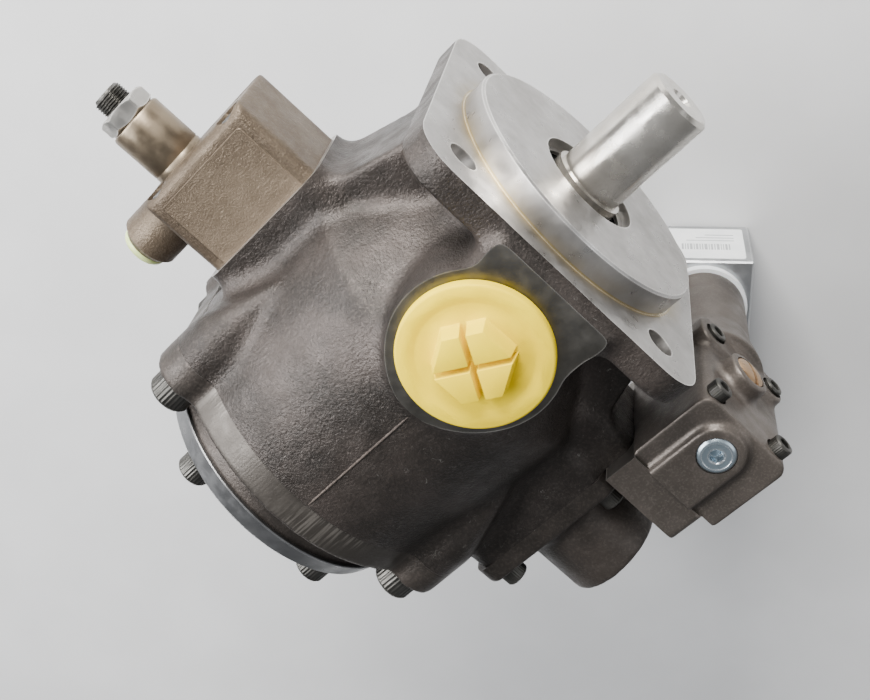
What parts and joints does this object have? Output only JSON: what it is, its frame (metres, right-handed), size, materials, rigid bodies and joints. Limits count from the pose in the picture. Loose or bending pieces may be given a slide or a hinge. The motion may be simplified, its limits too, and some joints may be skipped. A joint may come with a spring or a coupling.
{
  "type": "variable displacement hydraulic vane pump",
  "caption": "Flange-mounted variable-displacement hydraulic vane pump with a keyed shaft, displacement adjuster, pressure compensator and transport plug.",
  "frame": {"origin": "On the shaft axis, in the mounting face of the flange, at the root of the pilot.", "axes": "+X runs out along the drive shaft, +Z out of the suction port, +Y towards the displacement adjuster. The pressure and drain ports face -Z and the compensator is on the -Y side."},
  "size_m": [0.2134, 0.2624, 0.205],
  "materials": {
    "housing_casting": "matte",
    "rear_casting": "matte",
    "valve_casting": "matte",
    "phosphated_steel": "matte",
    "ground_steel": "polished",
    "bare_steel": "satin",
    "spring_steel": "satin",
    "black_oxide_steel": "satin",
    "zinc_plated_steel": "satin",
    "copper_plated_brass": "satin",
    "bearing_bronze": "satin",
    "nitrile_rubber": "matte",
    "yellow_plastic": "satin",
    "yellow_green_plastic": "satin",
    "white_plastic": "satin",
    "bright_aluminium": "satin",
    "label_paper": "satin"
  },
  "bodies": {
    "housing": {"pump_housing": "housing_casting", "rear_cover": "rear_casting", "rear_end_cap": "bare_steel", "rear_cover_screws": "black_oxide_steel", "end_cap_screws": "black_oxide_steel", "rear_cover_seal": "nitrile_rubber", "shaft_seal": "nitrile_rubber", "seal_retaining_ring": "bare_steel", "front_bearing_outer": "ground_steel", "rear_bearing_bush": "bearing_bronze", "front_control_plate": "bearing_bronze", "rear_control_plate": "bearing_bronze", "small_cover": "phosphated_steel", "small_cover_screws": "black_oxide_steel", "adjuster_bushing": "phosphated_steel", "spindle_lock_nut": "bare_steel", "side_boss_cap": "yellow_green_plastic", "large_cover": "rear_casting", "large_cover_screws": "black_oxide_steel", "height_screw": "bare_steel", "height_screw_nut": "bare_steel", "compensator_adapter": "valve_casting", "adapter_screws": "black_oxide_steel", "compensator_body": "valve_casting", "compensator_screws": "black_oxide_steel", "compensator_end_plug": "zinc_plated_steel", "orifice_plug": "copper_plated_brass", "collar_ring": "white_plastic", "adjuster_head": "bright_aluminium", "pressure_screw_nut": "bare_steel", "data_label": "label_paper", "piston_spring": "spring_steel", "spool_spring": "spring_steel"},
    "drive_shaft": {"shaft": "ground_steel", "shaft_key": "bare_steel", "front_bearing_inner": "ground_steel", "front_bearing_balls": "ground_steel", "rotor": "ground_steel"},
    "stator": {"stator_ring": "ground_steel"},
    "small_stroke_piston": {"small_piston": "ground_steel"},
    "large_stroke_piston": {"large_piston": "ground_steel"},
    "stroke_stop": {"stop_pin": "ground_steel"},
    "stroke_spindle": {"displacement_spindle": "bare_steel"},
    "valve_spool": {"compensator_spool": "ground_steel", "spool_spring_plate": "bare_steel"},
    "spring_adjuster": {"spring_adjuster_plate": "bare_steel"},
    "pressure_adjuster": {"pressure_screw": "bare_steel"},
    "transport_plug": {"suction_plug": "yellow_plastic"},
    "vane_body_01": {"vane_01": "ground_steel"},
    "vane_body_02": {"vane_02": "ground_steel"},
    "vane_body_03": {"vane_03": "ground_steel"},
    "vane_body_04": {"vane_04": "ground_steel"},
    "vane_body_05": {"vane_05": "ground_steel"},
    "vane_body_06": {"vane_06": "ground_steel"},
    "vane_body_07": {"vane_07": "ground_steel"},
    "vane_body_08": {"vane_08": "ground_steel"},
    "vane_body_09": {"vane_09": "ground_steel"},
    "vane_body_10": {"vane_10": "ground_steel"},
    "vane_body_11": {"vane_11": "ground_steel"}
  },
  "joints": [
    {"name": "shaft_spin", "type": "hinge", "parent": "housing", "child": "drive_shaft", "pos_m": [0, 0, 0], "axis": [1, 0, 0], "continuous": true},
    {"name": "ring_slide", "type": "slide", "parent": "housing", "child": "stator", "axis": [0, 1, 0], "range_m": [0, 0.003], "stiffness_N_per_m": 12000, "springref_m": 0.006, "deforming": ["piston_spring"]},
    {"name": "small_piston_slide", "type": "slide", "parent": "housing", "child": "small_stroke_piston", "axis": [0, 1, 0], "range_m": [0, 0.003]},
    {"name": "large_piston_slide", "type": "slide", "parent": "housing", "child": "large_stroke_piston", "axis": [0, 1, 0], "range_m": [0, 0.003]},
    {"name": "stop_pin_slide", "type": "slide", "parent": "housing", "child": "stroke_stop", "axis": [0, 1, 0], "range_m": [-0.001, 0.003]},
    {"name": "spindle_turn", "type": "hinge", "parent": "stroke_stop", "child": "stroke_spindle", "pos_m": [-0.087, 0.1, 0], "axis": [0, 1, 0], "range_deg": [-360, 1080]},
    {"name": "spool_slide", "type": "slide", "parent": "housing", "child": "valve_spool", "axis": [0, 0, 1], "range_m": [-0.0015, 0.0015], "stiffness_N_per_m": 6000, "springref_m": 0.004, "deforming": ["spool_spring"]},
    {"name": "adjuster_plate_slide", "type": "slide", "parent": "housing", "child": "spring_adjuster", "axis": [0, 0, 1], "range_m": [-0.002, 0.004]},
    {"name": "pressure_screw_turn", "type": "hinge", "parent": "spring_adjuster", "child": "pressure_adjuster", "pos_m": [-0.0205, -0.095, -0.1], "axis": [0, 0, 1], "range_deg": [-480, 960]},
    {"name": "suction_plug_lift", "type": "slide", "parent": "housing", "child": "transport_plug", "axis": [0, 0, 1], "range_m": [0, 0.03]},
    {"name": "vane_01_slide", "type": "slide", "parent": "drive_shaft", "child": "vane_body_01", "axis": [0, -1, 0], "range_m": [-0.003, 0.0005]},
    {"name": "vane_02_slide", "type": "slide", "parent": "drive_shaft", "child": "vane_body_02", "axis": [0, -0.8413, -0.5406], "range_m": [-0.003, 0.0005]},
    {"name": "vane_03_slide", "type": "slide", "parent": "drive_shaft", "child": "vane_body_03", "axis": [0, -0.4154, -0.9096], "range_m": [-0.003, 0.0005]},
    {"name": "vane_04_slide", "type": "slide", "parent": "drive_shaft", "child": "vane_body_04", "axis": [0, 0.1423, -0.9898], "range_m": [-0.003, 0.0005]},
    {"name": "vane_05_slide", "type": "slide", "parent": "drive_shaft", "child": "vane_body_05", "axis": [0, 0.6549, -0.7557], "range_m": [-0.003, 0.0005]},
    {"name": "vane_06_slide", "type": "slide", "parent": "drive_shaft", "child": "vane_body_06", "axis": [0, 0.9595, -0.2817], "range_m": [-0.003, 0.0005]},
    {"name": "vane_07_slide", "type": "slide", "parent": "drive_shaft", "child": "vane_body_07", "axis": [0, 0.9595, 0.2817], "range_m": [-0.003, 0.0005]},
    {"name": "vane_08_slide", "type": "slide", "parent": "drive_shaft", "child": "vane_body_08", "axis": [0, 0.6549, 0.7557], "range_m": [-0.003, 0.0005]},
    {"name": "vane_09_slide", "type": "slide", "parent": "drive_shaft", "child": "vane_body_09", "axis": [0, 0.1423, 0.9898], "range_m": [-0.003, 0.0005]},
    {"name": "vane_10_slide", "type": "slide", "parent": "drive_shaft", "child": "vane_body_10", "axis": [0, -0.4154, 0.9096], "range_m": [-0.003, 0.0005]},
    {"name": "vane_11_slide", "type": "slide", "parent": "drive_shaft", "child": "vane_body_11", "axis": [0, -0.8413, 0.5406], "range_m": [-0.003, 0.0005]}
  ],
  "couplings": [
    {"joint": "small_piston_slide", "follows": "ring_slide", "ratio": 1},
    {"joint": "large_piston_slide", "follows": "ring_slide", "ratio": 1},
    {"joint": "spindle_turn", "follows": "stop_pin_slide", "rad_per_m": 6283.2},
    {"joint": "pressure_screw_turn", "follows": "adjuster_plate_slide", "rad_per_m": 4188.8}
  ]
}
